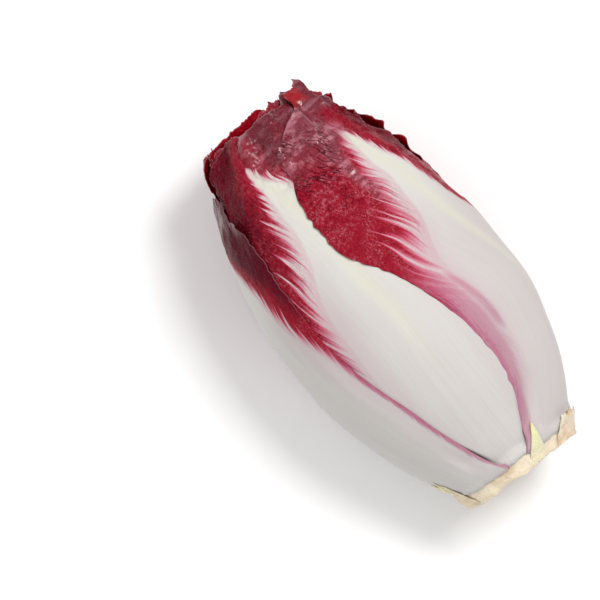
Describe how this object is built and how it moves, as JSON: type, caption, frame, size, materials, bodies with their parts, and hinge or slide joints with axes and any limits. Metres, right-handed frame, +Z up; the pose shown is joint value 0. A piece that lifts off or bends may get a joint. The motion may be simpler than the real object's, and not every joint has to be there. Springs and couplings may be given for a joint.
{
  "type": "belgian endive",
  "caption": "Plump oval head of red Belgian endive lying on its side, with clasping white-ribbed crimson leaves, a ruffled crown and a cut butt.",
  "frame": {"origin": "on the supporting surface under the middle of the lying head's box", "axes": "+X runs from the cut butt towards the leaf tips and +Z is up"},
  "size_m": [0.1412, 0.0794, 0.0798],
  "materials": {
    "outer_leaf": "waxy white ribs feathering into crimson blades, soft satin gloss",
    "inner_leaf": "crimson to maroon blades with pale veins, satin gloss",
    "leaf_stub": "pale yellow, dry at the edges",
    "stem": "matt cut stem, cream with tan and brown stains"
  },
  "bodies": {
    "root": {"leaf_01": "outer_leaf", "leaf_02": "outer_leaf", "leaf_03": "outer_leaf", "leaf_04": "outer_leaf", "leaf_05": "outer_leaf", "leaf_06": "inner_leaf", "leaf_07": "inner_leaf", "leaf_08": "inner_leaf", "leaf_09": "inner_leaf", "leaf_10": "inner_leaf", "leaf_11": "inner_leaf", "leaf_12": "inner_leaf", "leaf_13": "inner_leaf", "leaf_14": "inner_leaf", "leaf_15": "inner_leaf", "leaf_16": "inner_leaf", "leaf_17": "inner_leaf", "leaf_18": "inner_leaf", "leaf_19": "inner_leaf", "leaf_20": "inner_leaf", "leaf_21": "inner_leaf", "leaf_22": "inner_leaf", "heart_bud": "inner_leaf", "leaf_stub_1": "leaf_stub", "leaf_stub_2": "leaf_stub", "leaf_stub_3": "leaf_stub", "leaf_stub_4": "leaf_stub", "stem_core": "stem"}
  },
  "joints": []
}
